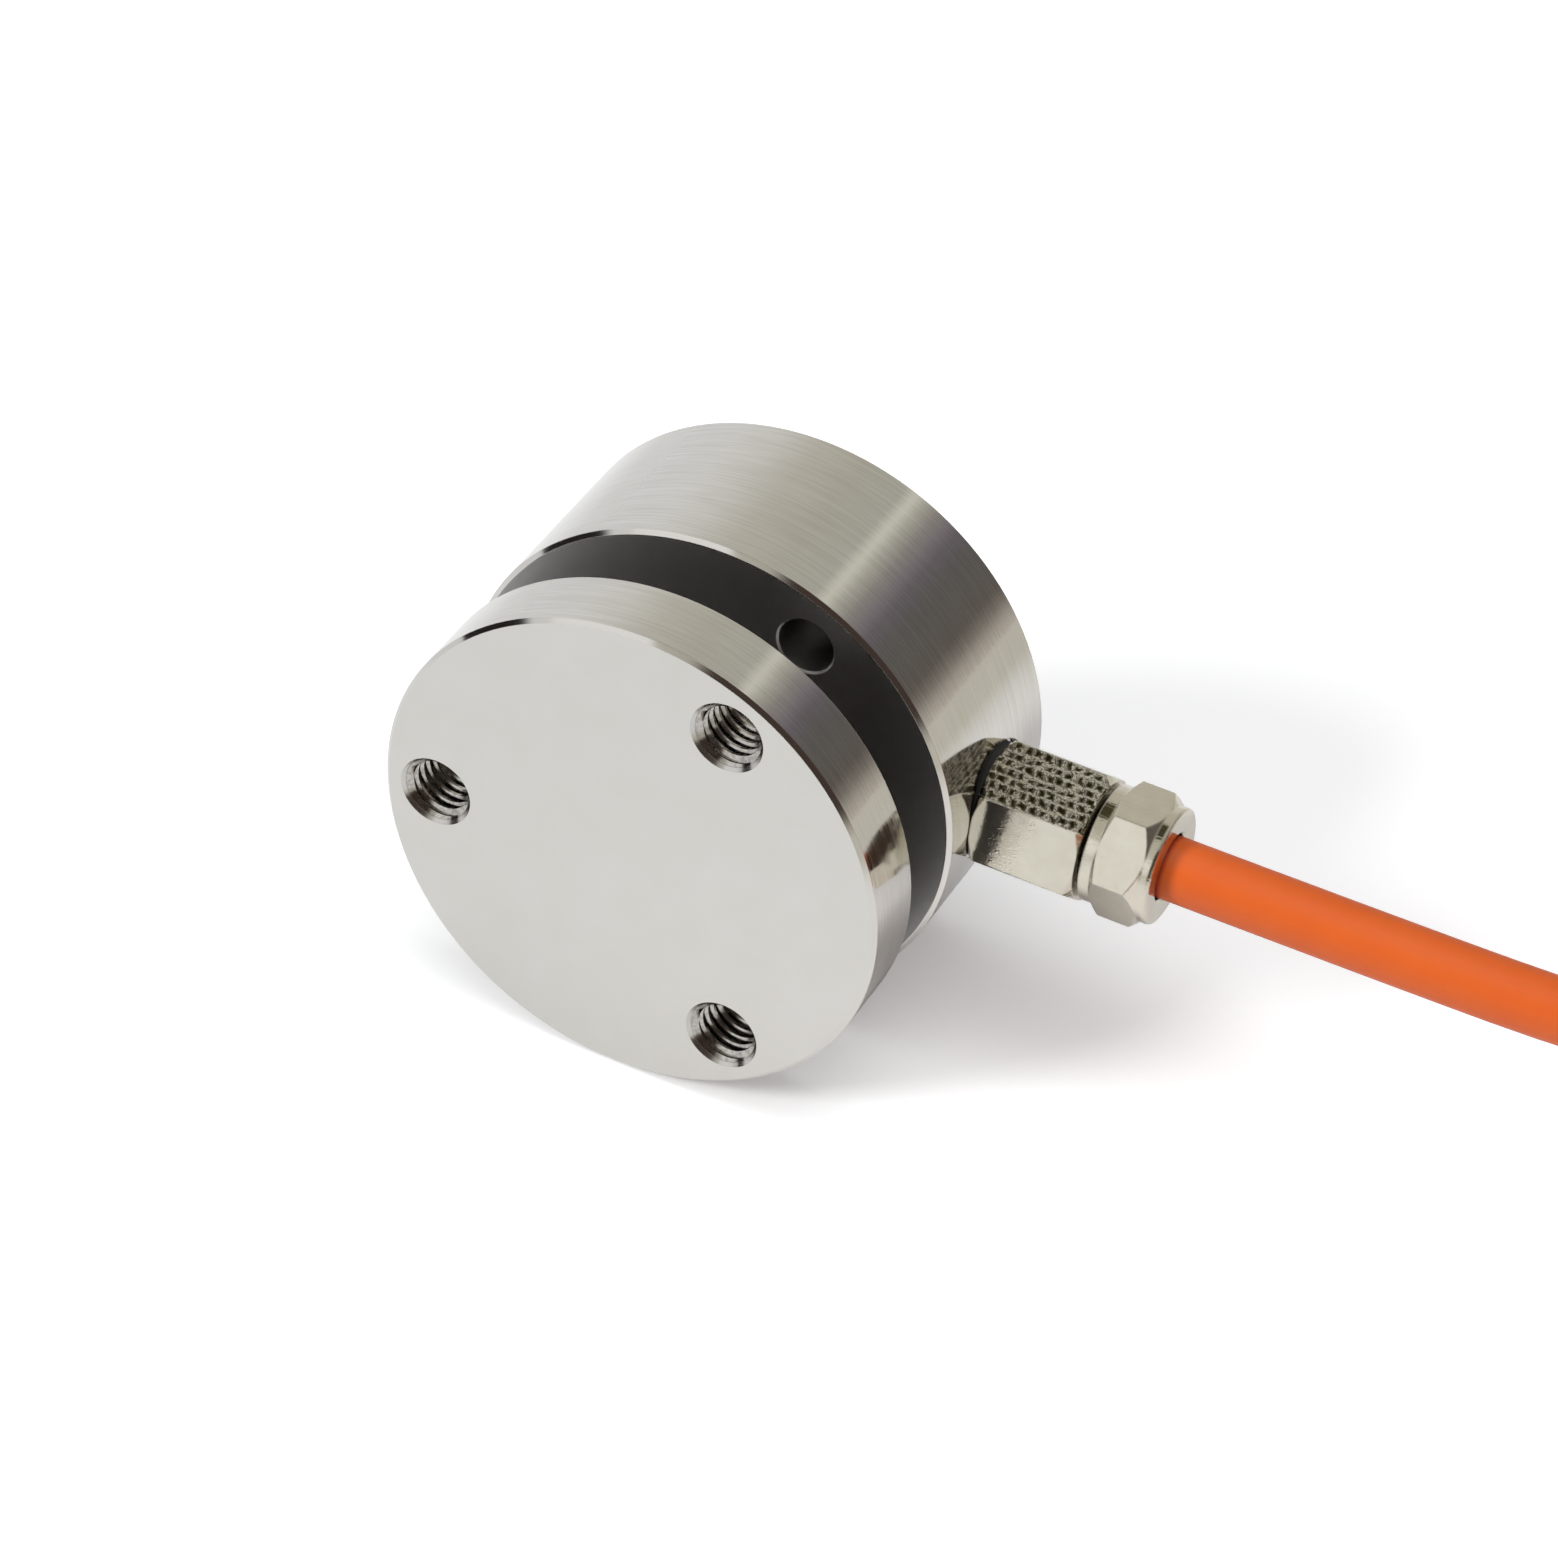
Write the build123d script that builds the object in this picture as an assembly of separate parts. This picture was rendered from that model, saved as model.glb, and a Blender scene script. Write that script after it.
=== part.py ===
from build123d import *
import math
import os

# Millimetres. The load axis runs along +Y from the centre of the front face, +Z is up and the
# cable gland points along +X. The load cell lies on its round side.

# Spring element: two flanges turned from one bar and joined by a neck
OUTER_DIAMETER = 38.0
FLANGE_THICKNESS = 5.6
GROOVE_WIDTH = 6.0
BODY_THICKNESS = 15.0
RIM_CHAMFER = 0.3
GROOVE_EDGE = 0.15
NECK_DIAMETER = 12.0
NECK_FILLET = 1.5

# Sensing cavity behind the neck
MEMBRANE_THICKNESS = 2.2
CAVITY_CORNER = 0.6
HUB_DIAMETER = 7.0
HUB_HEIGHT = 1.6

# M5 holes in line through both flanges, each tapped from its own outer face
BOLT_FROM_RIM = 4.0
BOLT_COUNT = 3
BOLT_CLOCKING = 3.5
THREAD_DIAMETER = 5.0
TAP_DRILL = 4.2
REAR_THREAD_DEPTH = 9.5
COUNTERSINK = 5.5
DEBURR = 0.15
CUT_BEYOND = 1.0

# Rear cover
COVER_FROM_BOLTS = 3.7
COVER_THICKNESS = 1.5
COVER_FIT = 0.03
COVER_SINK = 0.1
COVER_CHAMFER = 0.15

# Terminal board, strain gauges and balance resistors
COVER_LEDGE = 1.1
BOARD_LEDGE = 0.6
BOARD_THICKNESS = 0.8
BOARD_FIT = 0.05
BOARD_BACK_SPACE = 2.6
GAUGE_LENGTH = 3.4
GAUGE_WIDTH = 2.4
GAUGE_THICKNESS = 0.1
GAUGE_COUNT = 4
GAUGE_LEAD_DIAMETER = 0.25
GAUGE_LEAD_SPACING = 1.4
RESISTOR_LENGTH = 3.2
RESISTOR_WIDTH = 1.6
RESISTOR_HEIGHT = 0.6
RESISTOR_SPACING = 9.0

# Cable gland
GLAND_FROM_BACK = 7.6
SPOT_DIAMETER = 9.0
SPOT_DEPTH = 0.55
GLAND_THREAD = 6.0
THREAD_FIT = 0.02
GLAND_STUB_FROM_CAVITY = 2.0
GLAND_THREAD_SPARE = 0.4
GLAND_THREAD_CHAMFER = 0.4
PORT_DIAMETER = 4.2
GASKET_FROM_SPOT_EDGE = 0.3
GASKET_CLEARANCE = 0.05
GLAND_ACROSS_FLATS = 8.85
GLAND_HEX_LENGTH = 8.0
GLAND_HEX_TURN = 40.2
GLAND_OUTER_CHAMFER = 0.65
GLAND_BORE = 3.9
SPIGOT_DIAMETER = 6.9
SPIGOT_LENGTH = 3.3
SPIGOT_RELIEF = 0.2
SPIGOT_CHAMFER = 0.3
SEAL_POCKET = 6.0
SEAL_LENGTH = 4.4
SEAL_FIT = 0.02
SEAL_TAPER = 0.3
SEAL_TAPER_LENGTH = 0.8
JACKET_SEAT = 1.6
WASHER_THICKNESS = 0.5

# Compression nut
NUT_GAP = 0.25
NUT_ACROSS_FLATS = 8.55
NUT_HEX_TURN = 4.7
NUT_COLLAR_LENGTH = 0.95
NUT_HEX_LENGTH = 3.45
NUT_INNER_CHAMFER = 0.6
NUT_END_LENGTH = 0.8
NUT_FRONT_EDGE = 0.1
NUT_END_EDGE = 0.25
NUT_MOUTH = 0.2

# Cable and its cores
CABLE_DIAMETER = 4.6
CABLE_CLEARANCE = 0.15
CABLE_EXIT_DEPTH = 1.0
CORE_COLOURS = ("red", "black", "green", "white")
CORE_DIAMETER = 1.2
CORE_CIRCLE = 1.8
CORE_BEND = 1.4
CORE_TURN_FROM_WALL = (1.6, 3.2, 5.0, 3.2)
DRAIN_DIAMETER = 0.4
DRAIN_TURN_FROM_WALL = 3.2

# Cable outside: straight out of the nut, then aside into the coil's outer top turn
CABLE_STRAIGHT = 28.55
LEAD_IN_BEND = 0.85

# Coil of the length that is put away, with its two ties
COIL_FROM_EXIT = 77.55
COIL_SIDE = 14.9
COIL_MEAN_DIAMETER = 49.0
COIL_TURNS_ACROSS = 4
COIL_LAYERS = 5
COIL_SWELL = 0.3
COIL_CORNER = 1.2
COIL_ENTRY_ANGLE = -130.0
TIE_ANGLES = (115.0, 250.0)
TIE_WIDTH = 3.6
TIE_THICKNESS = 0.8
TIE_SLACK = 0.2
TIE_HEAD_LENGTH = 5.2
TIE_HEAD_WIDTH = 4.4
TIE_HEAD_HEIGHT = 3.4

# Stripped end of the cable, which rises from the inner top turn and lies on the coil
TAIL_START = (4.56, -17.0)
TAIL_RISE = (13.16, -14.12, 6.9)
TAIL_BEND = (20.15, -4.28)
TAIL_LENGTH = 12.0
TAIL_DIRECTION = 100.0
TAIL_BENDS = 0.48
SLEEVE_DIAMETER = 5.6
SLEEVE_NECK = 4.2
SLEEVE_LENGTH = 8.5
SLEEVE_OVERLAP = 5.0
SLEEVE_SHOULDER = 1.6
SLEEVE_FIT = 0.02
LEAD_BEND_START = 2.0
LEAD_SPREAD_LENGTH = 8.5
LEAD_REST_LENGTH = 3.5
LEAD_SPREAD = (1.2, -1.2, -7.0, -4.6)
SHIELD_SPREAD = 0.0
TIP_LENGTH = 4.0
TIP_DIAMETER = 0.7
REST_CLEARANCE = 0.05

# Places that follow from the sizes
FLOOR = -OUTER_DIAMETER / 2
BOLT_CIRCLE = OUTER_DIAMETER - 2 * BOLT_FROM_RIM
COVER_DIAMETER = BOLT_CIRCLE - 2 * COVER_FROM_BOLTS
BOARD_DIAMETER = COVER_DIAMETER - 2 * COVER_LEDGE
CAVITY_DIAMETER = BOARD_DIAMETER - 2 * BOARD_LEDGE
GAUGE_CIRCLE = (CAVITY_DIAMETER + HUB_DIAMETER) / 2
BODY_FRONT = FLANGE_THICKNESS + GROOVE_WIDTH
BODY_BACK = BODY_FRONT + BODY_THICKNESS
CAVITY_FRONT = BODY_FRONT + MEMBRANE_THICKNESS
COVER_SEAT = BODY_BACK - COVER_SINK - COVER_THICKNESS
BOARD_SEAT = COVER_SEAT - BOARD_BACK_SPACE - BOARD_THICKNESS
GLAND_Y = BODY_BACK - GLAND_FROM_BACK
HEX_START = OUTER_DIAMETER / 2
SPOT_X = HEX_START - SPOT_DEPTH
STUB_END = CAVITY_DIAMETER / 2 + GLAND_STUB_FROM_CAVITY
JACKET_END = HEX_START + JACKET_SEAT
HEX_END = HEX_START + GLAND_HEX_LENGTH
SPIGOT_END = HEX_END + SPIGOT_LENGTH
NUT_START = HEX_END + NUT_GAP
NUT_HEX_START = NUT_START + NUT_COLLAR_LENGTH
NUT_HEX_END = NUT_HEX_START + NUT_HEX_LENGTH
NUT_END = NUT_HEX_END + NUT_END_LENGTH
CABLE_EXIT = NUT_END - CABLE_EXIT_DEPTH
COIL_BOTTOM = FLOOR + TIE_THICKNESS + TIE_SLACK
COIL_OUTER_TURN = (COIL_MEAN_DIAMETER + (COIL_TURNS_ACROSS - 1) * CABLE_DIAMETER) / 2
COIL_WIDTH = COIL_TURNS_ACROSS * CABLE_DIAMETER + COIL_SWELL
COIL_HEIGHT = COIL_LAYERS * CABLE_DIAMETER + COIL_SWELL
COIL_TOP = COIL_BOTTOM + COIL_HEIGHT
TOP_TURN = COIL_TOP - (CABLE_DIAMETER + COIL_SWELL) / 2
COIL_X = CABLE_EXIT + COIL_FROM_EXIT
COIL_Y = GLAND_Y + COIL_SIDE
STRAIGHT_END = CABLE_EXIT + CABLE_STRAIGHT
ENTRY_X = COIL_X + COIL_OUTER_TURN * math.cos(math.radians(COIL_ENTRY_ANGLE))
ENTRY_Y = COIL_Y + COIL_OUTER_TURN * math.sin(math.radians(COIL_ENTRY_ANGLE))
LEAD_IN_CORNER = ENTRY_X + (ENTRY_Y - GLAND_Y) * math.tan(math.radians(COIL_ENTRY_ANGLE))
TAIL_HEIGHT = COIL_TOP + SLEEVE_DIAMETER / 2 + REST_CLEARANCE
TAIL_AHEAD = math.radians(TAIL_DIRECTION)
TAIL_END_X = COIL_X + TAIL_BEND[0] + TAIL_LENGTH * math.cos(TAIL_AHEAD)
TAIL_END_Y = COIL_Y + TAIL_BEND[1] + TAIL_LENGTH * math.sin(TAIL_AHEAD)

BASE = (Align.CENTER, Align.CENTER, Align.MIN)


def outline(points):
    """Closed flat outline through the given points."""
    return make_face(Polyline(*points, close=True))


def turned_on_gland_axis(points):
    """Solid turned about the gland's axis from (x, radius) points."""
    return Pos(0, GLAND_Y, 0) * revolve(outline(points), Axis.X)


def turned_on_load_axis(points):
    """Solid turned about the load axis from (radius, y) points."""
    return revolve(outline(points), Axis.Y)


def hexagon(across_flats, turn, start, end):
    """Hexagonal bar on the gland's axis, one corner turned from -Y towards +Z."""
    flat = RegularPolygon(across_flats / 2, 6, major_radius=False, rotation=180 - turn)
    plane = Plane(origin=(start, GLAND_Y, 0), x_dir=(0, 1, 0), z_dir=(1, 0, 0))
    return extrude(plane * flat, end - start)


def swept_tube(diameter, points, radii):
    """Tube of straight runs joined by tangent arcs."""
    path = FilletPolyline(*points, radius=radii)
    return sweep(Plane(origin=path @ 0, z_dir=path % 0) * Circle(diameter / 2), path=path)


def route_radii(points, share=0.45):
    """Radius at each corner, whose arc takes a share of the shorter run beside it."""
    radii = []
    for before, corner, after in zip(points, points[1:], points[2:]):
        run_in = Vector(*corner) - Vector(*before)
        run_out = Vector(*after) - Vector(*corner)
        half_turn = math.radians(run_in.get_angle(run_out) / 2)
        radii.append(share * min(run_in.length, run_out.length) / math.tan(half_turn))
    return radii


def bolt_places():
    """Places on the bolt circle, counted from the side away from the gland."""
    start = 180 + BOLT_CLOCKING
    return [Rot(0, -(start + index * 360 / BOLT_COUNT), 0) * Pos(BOLT_CIRCLE / 2, 0, 0) for index in range(BOLT_COUNT)]


def bolt_hole():
    """Cutter of one hole line: threads from the outer faces, tap drill between them."""
    thread = THREAD_DIAMETER / 2
    drill = TAP_DRILL / 2
    sink = COUNTERSINK / 2
    inner_end = BODY_BACK - REAR_THREAD_DEPTH
    return turned_on_load_axis([
        (0, -CUT_BEYOND),
        (sink, -CUT_BEYOND),
        (sink, 0),
        (thread, sink - thread),
        (thread, FLANGE_THICKNESS - DEBURR),
        (thread + DEBURR, FLANGE_THICKNESS),
        (thread + DEBURR, BODY_FRONT - GROOVE_WIDTH / 2),
        (drill + DEBURR, BODY_FRONT - GROOVE_WIDTH / 2),
        (drill + DEBURR, BODY_FRONT),
        (drill, BODY_FRONT + DEBURR),
        (drill, inner_end - (thread - drill)),
        (thread, inner_end),
        (thread, BODY_BACK - (sink - thread)),
        (sink, BODY_BACK),
        (sink, BODY_BACK + CUT_BEYOND),
        (0, BODY_BACK + CUT_BEYOND),
    ])


def gland_port():
    """Cutter of the spot face, thread and cable bore for the gland."""
    thread = GLAND_THREAD / 2
    thread_end = STUB_END - GLAND_THREAD_SPARE
    return turned_on_gland_axis([
        (CAVITY_DIAMETER / 2 - CUT_BEYOND, 0),
        (HEX_START + CUT_BEYOND, 0),
        (HEX_START + CUT_BEYOND, SPOT_DIAMETER / 2),
        (SPOT_X, SPOT_DIAMETER / 2),
        (SPOT_X, thread),
        (thread_end, thread),
        (thread_end, PORT_DIAMETER / 2),
        (CAVITY_DIAMETER / 2 - CUT_BEYOND, PORT_DIAMETER / 2),
    ])


def spring_element():
    """Front flange, neck, membrane and rear body, turned from one bar and drilled."""
    outer = OUTER_DIAMETER / 2
    neck = NECK_DIAMETER / 2
    hub = HUB_DIAMETER / 2
    cavity = CAVITY_DIAMETER / 2
    board = BOARD_DIAMETER / 2 + BOARD_FIT
    cover = COVER_DIAMETER / 2 + COVER_FIT
    profile = outline([
        (0, 0),
        (outer - RIM_CHAMFER, 0),
        (outer, RIM_CHAMFER),
        (outer, FLANGE_THICKNESS - GROOVE_EDGE),
        (outer - GROOVE_EDGE, FLANGE_THICKNESS),
        (neck, FLANGE_THICKNESS),
        (neck, BODY_FRONT),
        (outer - RIM_CHAMFER, BODY_FRONT),
        (outer, BODY_FRONT + RIM_CHAMFER),
        (outer, BODY_BACK - RIM_CHAMFER),
        (outer - RIM_CHAMFER, BODY_BACK),
        (cover, BODY_BACK),
        (cover, COVER_SEAT),
        (board, COVER_SEAT),
        (board, BOARD_SEAT),
        (cavity, BOARD_SEAT),
        (cavity, CAVITY_FRONT + CAVITY_CORNER),
        (cavity - CAVITY_CORNER, CAVITY_FRONT),
        (hub + CAVITY_CORNER, CAVITY_FRONT),
        (hub, CAVITY_FRONT + CAVITY_CORNER),
        (hub, CAVITY_FRONT + HUB_HEIGHT),
        (0, CAVITY_FRONT + HUB_HEIGHT),
    ])
    neck_corners = [v for v in profile.vertices() if abs(v.X - neck) < 1e-4 and v.Y < CAVITY_FRONT]
    profile = fillet(neck_corners, NECK_FILLET)
    element = revolve(profile, Axis.Y)
    for place in bolt_places():
        element -= place * bolt_hole()
    return element - gland_port()


def rear_cover():
    """Disc that closes the cavity."""
    outer = COVER_DIAMETER / 2
    back = COVER_SEAT + COVER_THICKNESS
    return turned_on_load_axis([
        (0, COVER_SEAT),
        (outer, COVER_SEAT),
        (outer, back - COVER_CHAMFER),
        (outer - COVER_CHAMFER, back),
        (0, back),
    ])


def gauge_places():
    """Places of the strain gauges on the membrane, between the main directions."""
    return [
        Pos(0, CAVITY_FRONT, 0) * Rot(0, -(45 + index * 360 / GAUGE_COUNT), 0) * Pos(GAUGE_CIRCLE / 2, 0, 0)
        for index in range(GAUGE_COUNT)
    ]


def strain_gauge(place):
    """Thin rectangular foil gauge, its length across the radius."""
    foil = Box(GAUGE_WIDTH, GAUGE_THICKNESS, GAUGE_LENGTH, align=(Align.CENTER, Align.MIN, Align.CENTER))
    return place * foil


def gauge_leads():
    """Two fine leads from each gauge to the board."""
    length = BOARD_SEAT - CAVITY_FRONT - GAUGE_THICKNESS
    lead = Rot(-90, 0, 0) * Cylinder(GAUGE_LEAD_DIAMETER / 2, length, align=BASE)
    half = GAUGE_LEAD_SPACING / 2
    return Compound(children=[
        place * Pos(0, GAUGE_THICKNESS, side) * lead for place in gauge_places() for side in (-half, half)
    ])


def terminal_board():
    """Round circuit board on its ledge in the cavity."""
    outer = BOARD_DIAMETER / 2
    back = BOARD_SEAT + BOARD_THICKNESS
    return turned_on_load_axis([(0, BOARD_SEAT), (outer, BOARD_SEAT), (outer, back), (0, back)])


def balance_resistors():
    """Zero and span resistors on the back of the board."""
    chip = Box(RESISTOR_LENGTH, RESISTOR_HEIGHT, RESISTOR_WIDTH, align=(Align.CENTER, Align.MIN, Align.CENTER))
    back = BOARD_SEAT + BOARD_THICKNESS
    half = RESISTOR_SPACING / 2
    return Compound(children=[Pos(0, back, side) * chip for side in (-half, half)])


def gland_gasket():
    """Flat rubber ring between the spot face and the gland."""
    inner = GLAND_THREAD / 2 + GASKET_CLEARANCE
    outer = SPOT_DIAMETER / 2 - GASKET_FROM_SPOT_EDGE
    return turned_on_gland_axis([(SPOT_X, inner), (HEX_START, inner), (HEX_START, outer), (SPOT_X, outer)])


def gland_body():
    """Hexagonal gland body with a threaded stub and a spigot for the nut."""
    flats = GLAND_ACROSS_FLATS / 2
    corner = GLAND_ACROSS_FLATS / math.sqrt(3)
    rise = corner - flats
    envelope = turned_on_gland_axis([
        (HEX_START, 0),
        (HEX_START, flats),
        (HEX_START + rise, corner),
        (HEX_END - GLAND_OUTER_CHAMFER * rise, corner),
        (HEX_END, flats),
        (HEX_END, 0),
    ])
    body = envelope & hexagon(GLAND_ACROSS_FLATS, GLAND_HEX_TURN, HEX_START, HEX_END)
    stub = GLAND_THREAD / 2 - THREAD_FIT
    spigot = SPIGOT_DIAMETER / 2
    body += turned_on_gland_axis([
        (STUB_END, 0),
        (STUB_END, stub - GLAND_THREAD_CHAMFER),
        (STUB_END + GLAND_THREAD_CHAMFER, stub),
        (HEX_START, stub),
        (HEX_START, 0),
    ])
    body += turned_on_gland_axis([
        (HEX_END, 0),
        (HEX_END, spigot - SPIGOT_RELIEF),
        (NUT_START, spigot - SPIGOT_RELIEF),
        (NUT_START, spigot),
        (SPIGOT_END - SPIGOT_CHAMFER, spigot),
        (SPIGOT_END, spigot - SPIGOT_CHAMFER),
        (SPIGOT_END, 0),
    ])
    jacket = CABLE_DIAMETER / 2 + CABLE_CLEARANCE
    seal_start = SPIGOT_END - SEAL_LENGTH
    body -= turned_on_gland_axis([
        (STUB_END - CUT_BEYOND, 0),
        (STUB_END - CUT_BEYOND, GLAND_BORE / 2),
        (JACKET_END, GLAND_BORE / 2),
        (JACKET_END, jacket),
        (seal_start, jacket),
        (seal_start, SEAL_POCKET / 2),
        (SPIGOT_END + CUT_BEYOND, SEAL_POCKET / 2),
        (SPIGOT_END + CUT_BEYOND, 0),
    ])
    return body


def seal_insert():
    """Rubber sleeve that the nut squeezes onto the cable."""
    inner = CABLE_DIAMETER / 2
    outer = SEAL_POCKET / 2 - SEAL_FIT
    start = SPIGOT_END - SEAL_LENGTH
    return turned_on_gland_axis([
        (start, inner),
        (start, outer - SEAL_TAPER),
        (start + SEAL_TAPER_LENGTH, outer),
        (SPIGOT_END, outer),
        (SPIGOT_END, inner),
    ])


def clamp_washer():
    """Slip ring between the seal and the nut."""
    inner = CABLE_DIAMETER / 2 + CABLE_CLEARANCE
    outer = SEAL_POCKET / 2
    end = SPIGOT_END + WASHER_THICKNESS
    return turned_on_gland_axis([(SPIGOT_END, inner), (SPIGOT_END, outer), (end, outer), (end, inner)])


def gland_nut():
    """Compression nut: short collar, hexagon and rounded end collar."""
    flats = NUT_ACROSS_FLATS / 2
    corner = NUT_ACROSS_FLATS / math.sqrt(3)
    rise = corner - flats
    envelope = turned_on_gland_axis([
        (NUT_HEX_START, 0),
        (NUT_HEX_START, flats),
        (NUT_HEX_START + NUT_INNER_CHAMFER * rise, corner),
        (NUT_HEX_END - rise, corner),
        (NUT_HEX_END, flats),
        (NUT_HEX_END, 0),
    ])
    nut = envelope & hexagon(NUT_ACROSS_FLATS, NUT_HEX_TURN, NUT_HEX_START, NUT_HEX_END)
    nut += turned_on_gland_axis([
        (NUT_START, 0),
        (NUT_START, flats - NUT_FRONT_EDGE),
        (NUT_START + NUT_FRONT_EDGE, flats),
        (NUT_HEX_START, flats),
        (NUT_HEX_START, 0),
    ])
    nut += turned_on_gland_axis([
        (NUT_HEX_END, 0),
        (NUT_HEX_END, flats),
        (NUT_END - NUT_END_EDGE, flats),
        (NUT_END - 0.3 * NUT_END_EDGE, flats - 0.3 * NUT_END_EDGE),
        (NUT_END, flats - NUT_END_EDGE),
        (NUT_END, 0),
    ])
    seat = SPIGOT_END + WASHER_THICKNESS
    thread = SPIGOT_DIAMETER / 2 + THREAD_FIT
    hole = CABLE_DIAMETER / 2 + CABLE_CLEARANCE
    nut -= turned_on_gland_axis([
        (NUT_START - CUT_BEYOND, 0),
        (NUT_START - CUT_BEYOND, thread),
        (seat, thread),
        (seat, hole),
        (NUT_END - NUT_MOUTH, hole),
        (NUT_END, hole + NUT_MOUTH),
        (NUT_END + CUT_BEYOND, hole + NUT_MOUTH),
        (NUT_END + CUT_BEYOND, 0),
    ])
    return nut


def cable_entry():
    """Jacketed cable inside the gland."""
    jacket = CABLE_DIAMETER / 2
    return turned_on_gland_axis([(JACKET_END, 0), (JACKET_END, jacket), (CABLE_EXIT, jacket), (CABLE_EXIT, 0)])


def core_offset(index):
    """Centre of one core in the cable's section, as (side, up)."""
    angle = math.radians(index * 360 / len(CORE_COLOURS))
    return CORE_CIRCLE / 2 * math.cos(angle), CORE_CIRCLE / 2 * math.sin(angle)


def inner_core(index):
    """Insulated core from the jacket's end to the board."""
    side, up = core_offset(index)
    y = GLAND_Y + side
    turn = CAVITY_DIAMETER / 2 - CORE_TURN_FROM_WALL[index]
    points = [(JACKET_END, y, up), (turn, y, up), (turn, BOARD_SEAT, up)]
    return swept_tube(CORE_DIAMETER, points, CORE_BEND)


def drain_wire():
    """Bare drain wire of the shield, between the cores."""
    turn = CAVITY_DIAMETER / 2 - DRAIN_TURN_FROM_WALL
    points = [(JACKET_END, GLAND_Y, 0), (turn, GLAND_Y, 0), (turn, BOARD_SEAT, 0)]
    return swept_tube(DRAIN_DIAMETER, points, CORE_BEND)


def cable():
    """Straight cable out of the gland."""
    jacket = CABLE_DIAMETER / 2
    return turned_on_gland_axis([(CABLE_EXIT, 0), (CABLE_EXIT, jacket), (STRAIGHT_END, jacket), (STRAIGHT_END, 0)])


def cable_coil():
    """Outer shape of the coil, with the length that leads into it and its free end on top."""
    inner = (COIL_MEAN_DIAMETER - COIL_WIDTH) / 2
    outer = inner + COIL_WIDTH
    top = COIL_TOP
    section = outline([
        (inner + COIL_CORNER, COIL_BOTTOM),
        (outer - COIL_CORNER, COIL_BOTTOM),
        (outer, COIL_BOTTOM + COIL_CORNER),
        (outer, top - COIL_CORNER),
        (outer - COIL_CORNER, top),
        (inner + COIL_CORNER, top),
        (inner, top - COIL_CORNER),
        (inner, COIL_BOTTOM + COIL_CORNER),
    ])
    coil = Pos(COIL_X, COIL_Y, 0) * Rot(90, 0, 0) * revolve(section, Axis.Y)
    lead_in = [(STRAIGHT_END, GLAND_Y, 0), (LEAD_IN_CORNER, GLAND_Y, 0), (ENTRY_X, ENTRY_Y, TOP_TURN)]
    coil += swept_tube(CABLE_DIAMETER, lead_in, route_radii(lead_in, LEAD_IN_BEND))
    tail = [
        (COIL_X + TAIL_START[0], COIL_Y + TAIL_START[1], TOP_TURN),
        (COIL_X + TAIL_RISE[0], COIL_Y + TAIL_RISE[1], TAIL_RISE[2]),
        (COIL_X + TAIL_BEND[0], COIL_Y + TAIL_BEND[1], TAIL_HEIGHT),
        (TAIL_END_X, TAIL_END_Y, TAIL_HEIGHT),
    ]
    return coil + swept_tube(CABLE_DIAMETER, tail, route_radii(tail, TAIL_BENDS))


def coil_tie(angle):
    """Cable tie round the coil's section, with its head on top."""
    width = COIL_WIDTH + 2 * TIE_SLACK
    height = COIL_HEIGHT + 2 * TIE_SLACK
    loop = RectangleRounded(width + 2 * TIE_THICKNESS, height + 2 * TIE_THICKNESS, COIL_CORNER + TIE_THICKNESS)
    loop -= RectangleRounded(width, height, COIL_CORNER)
    middle = COIL_BOTTOM + COIL_HEIGHT / 2
    band = extrude(Plane(origin=(COIL_MEAN_DIAMETER / 2, 0, middle), x_dir=(1, 0, 0), z_dir=(0, -1, 0)) * loop, TIE_WIDTH / 2, both=True)
    head = Box(TIE_HEAD_LENGTH, TIE_HEAD_WIDTH, TIE_HEAD_HEIGHT, align=BASE)
    tie = band + Pos(COIL_MEAN_DIAMETER / 2, 0, middle + height / 2) * head
    return Pos(COIL_X, COIL_Y, 0) * Rot(0, 0, angle) * tie


def at_tail_end(solid):
    """Solid drawn along +Y from the jacket's end, put in its place on the coil."""
    return Pos(TAIL_END_X, TAIL_END_Y, TAIL_HEIGHT) * Rot(0, 0, TAIL_DIRECTION - 90) * solid


def end_sleeve():
    """Shrink sleeve over the jacket's end, drawn down onto the cores."""
    jacket = CABLE_DIAMETER / 2 + SLEEVE_FIT
    outer = SLEEVE_DIAMETER / 2
    neck = SLEEVE_NECK / 2
    end = SLEEVE_LENGTH - SLEEVE_OVERLAP
    sleeve = turned_on_load_axis([
        (jacket, -SLEEVE_OVERLAP),
        (outer, -SLEEVE_OVERLAP),
        (outer, 0),
        (neck, SLEEVE_SHOULDER),
        (neck, end),
        (0, end),
        (0, 0),
        (jacket, 0),
    ])
    return at_tail_end(sleeve)


def lead_route(offset, spread, diameter):
    """Points of a stripped core from the sleeve down to the coil's top."""
    side, up = offset
    start = SLEEVE_LENGTH - SLEEVE_OVERLAP
    rest = COIL_TOP - TAIL_HEIGHT + diameter / 2 + REST_CLEARANCE
    spread_end = start + LEAD_BEND_START + LEAD_SPREAD_LENGTH
    return [
        (side, start, up),
        (side, start + LEAD_BEND_START, up),
        (spread, spread_end, rest),
        (spread, spread_end + LEAD_REST_LENGTH, rest),
    ]


def end_lead(index):
    """Stripped and spread core at the cable's far end."""
    points = lead_route(core_offset(index), LEAD_SPREAD[index], CORE_DIAMETER)
    return at_tail_end(swept_tube(CORE_DIAMETER, points, route_radii(points)))


def end_shield():
    """Drain wire at the cable's far end."""
    points = lead_route((0, 0), SHIELD_SPREAD, DRAIN_DIAMETER)
    return at_tail_end(swept_tube(DRAIN_DIAMETER, points, route_radii(points)))


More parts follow.
